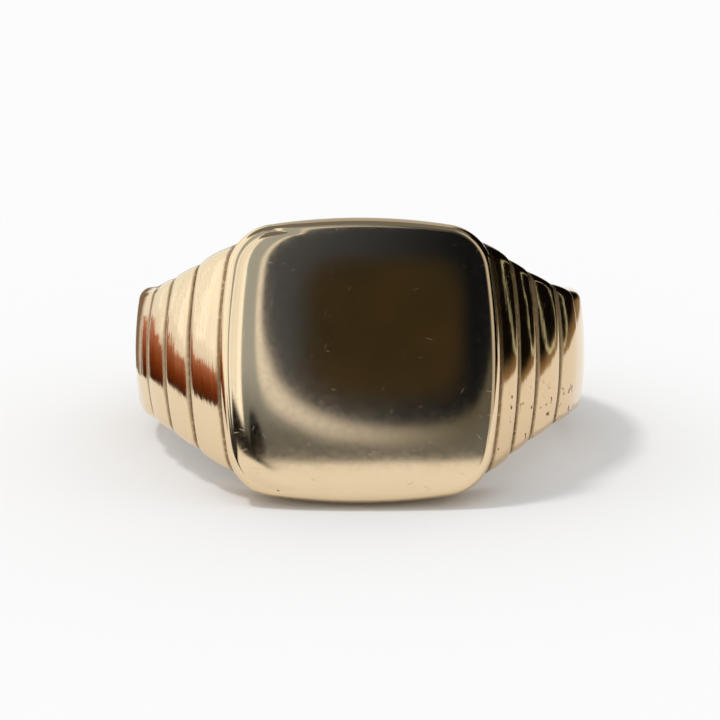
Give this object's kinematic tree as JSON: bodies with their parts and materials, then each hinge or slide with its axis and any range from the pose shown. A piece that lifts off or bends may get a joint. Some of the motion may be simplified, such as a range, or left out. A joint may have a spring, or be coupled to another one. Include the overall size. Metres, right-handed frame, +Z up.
{
  "type": "signet ring",
  "caption": "Yellow gold signet ring with a plain domed cushion-shaped face, stepped ribbed shoulders and a D-section band tapering to the back.",
  "frame": {"origin": "middle of the ring's footprint on the table, with the ring lying on the lower side of its head and the lower edge of the back of its shank", "axes": "+X across the shoulders towards the right shoulder as seen from the face, +Y from the face to the back of the shank, +Z up from the table"},
  "size_m": [0.023, 0.0242, 0.0139],
  "materials": {
    "face_gold": "mirror polish with fine wear scratches",
    "rib_gold": "mirror polish, dull in the grooves",
    "band_gold": "polished, softly worn",
    "bore_gold": "satin from wear against the finger"
  },
  "bodies": {
    "root": {"face_plate": "face_gold", "head_wall": "face_gold", "finger_sleeve": "bore_gold", "left_rib_1": "rib_gold", "left_rib_2": "rib_gold", "left_rib_3": "rib_gold", "left_rib_4": "rib_gold", "right_rib_1": "rib_gold", "right_rib_2": "rib_gold", "right_rib_3": "rib_gold", "right_rib_4": "rib_gold", "rear_shank": "band_gold"}
  },
  "joints": []
}
